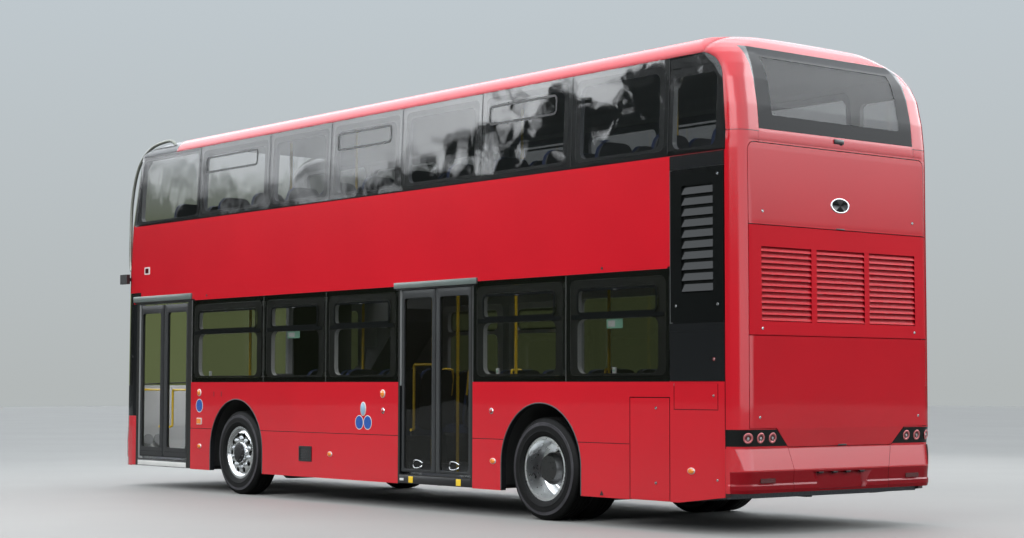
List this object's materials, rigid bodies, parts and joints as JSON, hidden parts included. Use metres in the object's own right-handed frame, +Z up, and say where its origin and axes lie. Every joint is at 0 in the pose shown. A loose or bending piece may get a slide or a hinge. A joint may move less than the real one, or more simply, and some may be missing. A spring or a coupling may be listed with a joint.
{
  "type": "double decker city bus",
  "caption": "Two-axle low-floor double decker bus with gliding double doors on one side, louvred rear flaps and flush glazing on both decks.",
  "frame": {"origin": "ground under the middle of the body", "axes": "+X forward, +Y to the kerb side with the doors, +Z up"},
  "size_m": [10.9, 2.69, 4.3],
  "materials": {
    "body_red": "gloss",
    "tinted_glass": "gloss",
    "door_aluminium": "satin",
    "black_trim": "matte",
    "interior_grey": "matte",
    "floor_vinyl": "matte",
    "seat_fabric": "matte",
    "rail_yellow": "gloss",
    "chassis_black": "satin",
    "wheel_alloy": "polished",
    "tyre_black": "matte",
    "axle_iron": "matte",
    "lamp_lens": "gloss",
    "bright_steel": "satin"
  },
  "bodies": {
    "root": {"underframe": "chassis_black", "lower_floor": "floor_vinyl", "upper_floor": "floor_vinyl", "wheel_boxes": "interior_grey", "rear_bulkhead": "interior_grey", "staircase": "interior_grey", "nearside_lower_wall": "body_red", "nearside_waist_panel": "body_red", "nearside_upper_wall": "body_red", "nearside_windows": "tinted_glass", "offside_lower_wall": "body_red", "offside_waist_panel": "body_red", "offside_upper_wall": "body_red", "offside_windows": "tinted_glass", "front_lower_panel": "body_red", "front_waist_panel": "body_red", "windscreens": "tinted_glass", "roof": "body_red", "rear_frame": "body_red", "rear_window": "tinted_glass", "tail_lamps": "lamp_lens", "headlamps": "lamp_lens", "bumpers": "body_red", "door_portals": "door_aluminium", "lower_seats": "seat_fabric", "upper_seats": "seat_fabric", "grab_poles": "rail_yellow", "driver_cab": "black_trim", "battery_pack": "interior_grey", "front_axle": "axle_iron", "rear_axle": "axle_iron", "branch_guard": "bright_steel", "camera_mirrors": "black_trim"},
    "front_left_knuckle": {"front_left_knuckle": "axle_iron"},
    "front_right_knuckle": {"front_right_knuckle": "axle_iron"},
    "front_left_wheel": {"front_left_rim": "wheel_alloy", "front_left_tyre": "tyre_black"},
    "front_right_wheel": {"front_right_rim": "wheel_alloy", "front_right_tyre": "tyre_black"},
    "rear_left_wheels": {"rear_left_rims": "wheel_alloy", "rear_left_tyres": "tyre_black"},
    "rear_right_wheels": {"rear_right_rims": "wheel_alloy", "rear_right_tyres": "tyre_black"},
    "rear_top_flap": {"rear_top_flap": "body_red"},
    "rear_grille_flap": {"rear_grille_flap": "body_red"},
    "rear_bottom_flap": {"rear_bottom_flap": "body_red"},
    "louvre_hatch": {"louvre_hatch": "black_trim"},
    "side_hatch": {"side_hatch": "body_red"},
    "front_door_rear_arm": {"front_door_rear_arm": "bright_steel"},
    "front_door_rear_leaf": {"front_door_rear_leaf": "door_aluminium"},
    "front_door_front_arm": {"front_door_front_arm": "bright_steel"},
    "front_door_front_leaf": {"front_door_front_leaf": "door_aluminium"},
    "middle_door_rear_arm": {"middle_door_rear_arm": "bright_steel"},
    "middle_door_rear_leaf": {"middle_door_rear_leaf": "door_aluminium"},
    "middle_door_front_arm": {"middle_door_front_arm": "bright_steel"},
    "middle_door_front_leaf": {"middle_door_front_leaf": "door_aluminium"}
  },
  "joints": [
    {"name": "steer_left", "type": "hinge", "parent": "root", "child": "front_left_knuckle", "pos_m": [2.585, 0.93, 0.4785], "axis": [0, 0, 1], "range_deg": [-45, 45]},
    {"name": "steer_right", "type": "hinge", "parent": "root", "child": "front_right_knuckle", "pos_m": [2.585, -0.93, 0.4785], "axis": [0, 0, 1], "range_deg": [-45, 45]},
    {"name": "spin_front_left", "type": "hinge", "parent": "front_left_knuckle", "child": "front_left_wheel", "pos_m": [2.585, 1.1025, 0.4785], "axis": [0, 1, 0], "continuous": true},
    {"name": "spin_front_right", "type": "hinge", "parent": "front_right_knuckle", "child": "front_right_wheel", "pos_m": [2.585, -1.1025, 0.4785], "axis": [0, 1, 0], "continuous": true},
    {"name": "spin_rear_left", "type": "hinge", "parent": "root", "child": "rear_left_wheels", "pos_m": [-2.88, 0.9425, 0.4785], "axis": [0, 1, 0], "continuous": true},
    {"name": "spin_rear_right", "type": "hinge", "parent": "root", "child": "rear_right_wheels", "pos_m": [-2.88, -0.9425, 0.4785], "axis": [0, 1, 0], "continuous": true},
    {"name": "open_rear_top_flap", "type": "hinge", "parent": "root", "child": "rear_top_flap", "pos_m": [-5.437, 0, 3.304], "axis": [0, 1, 0], "range_deg": [0, 85]},
    {"name": "open_rear_grille_flap", "type": "hinge", "parent": "root", "child": "rear_grille_flap", "pos_m": [-5.446, 0, 2.607], "axis": [0, 1, 0], "range_deg": [0, 85]},
    {"name": "open_rear_bottom_flap", "type": "hinge", "parent": "root", "child": "rear_bottom_flap", "pos_m": [-5.45, 0, 1.675], "axis": [0, 1, 0], "range_deg": [0, 85]},
    {"name": "open_louvre_hatch", "type": "hinge", "parent": "root", "child": "louvre_hatch", "pos_m": [-4.634, 1.275, 2.448], "axis": [0, 0, -1], "range_deg": [0, 100]},
    {"name": "open_side_hatch", "type": "hinge", "parent": "root", "child": "side_hatch", "pos_m": [-4.117, 1.275, 0.704], "axis": [0, 0, -1], "range_deg": [0, 100]},
    {"name": "front_door_rear_column", "type": "hinge", "parent": "root", "child": "front_door_rear_arm", "pos_m": [3.671, 1.19, 1.3], "axis": [0, 0, -1], "range_deg": [0, 78]},
    {"name": "front_door_rear_leaf_pivot", "type": "hinge", "parent": "front_door_rear_arm", "child": "front_door_rear_leaf", "pos_m": [3.971, 1.19, 1.3], "axis": [0, 0, 1], "range_deg": [0, 156]},
    {"name": "front_door_front_column", "type": "hinge", "parent": "root", "child": "front_door_front_arm", "pos_m": [4.971, 1.19, 1.3], "axis": [0, 0, 1], "range_deg": [0, 78]},
    {"name": "front_door_front_leaf_pivot", "type": "hinge", "parent": "front_door_front_arm", "child": "front_door_front_leaf", "pos_m": [4.671, 1.19, 1.3], "axis": [0, 0, -1], "range_deg": [0, 156]},
    {"name": "middle_door_rear_column", "type": "hinge", "parent": "root", "child": "middle_door_rear_arm", "pos_m": [-1.873, 1.19, 1.3], "axis": [0, 0, -1], "range_deg": [0, 78]},
    {"name": "middle_door_rear_leaf_pivot", "type": "hinge", "parent": "middle_door_rear_arm", "child": "middle_door_rear_leaf", "pos_m": [-1.573, 1.19, 1.3], "axis": [0, 0, 1], "range_deg": [0, 156]},
    {"name": "middle_door_front_column", "type": "hinge", "parent": "root", "child": "middle_door_front_arm", "pos_m": [-0.601, 1.19, 1.3], "axis": [0, 0, 1], "range_deg": [0, 78]},
    {"name": "middle_door_front_leaf_pivot", "type": "hinge", "parent": "middle_door_front_arm", "child": "middle_door_front_leaf", "pos_m": [-0.901, 1.19, 1.3], "axis": [0, 0, -1], "range_deg": [0, 156]}
  ],
  "couplings": [
    {"joint": "steer_right", "follows": "steer_left", "ratio": 1},
    {"joint": "front_door_rear_leaf_pivot", "follows": "front_door_rear_column", "ratio": 2},
    {"joint": "front_door_front_column", "follows": "front_door_rear_column", "ratio": 1},
    {"joint": "front_door_front_leaf_pivot", "follows": "front_door_rear_column", "ratio": 2},
    {"joint": "middle_door_rear_leaf_pivot", "follows": "middle_door_rear_column", "ratio": 2},
    {"joint": "middle_door_front_column", "follows": "middle_door_rear_column", "ratio": 1},
    {"joint": "middle_door_front_leaf_pivot", "follows": "middle_door_rear_column", "ratio": 2}
  ]
}
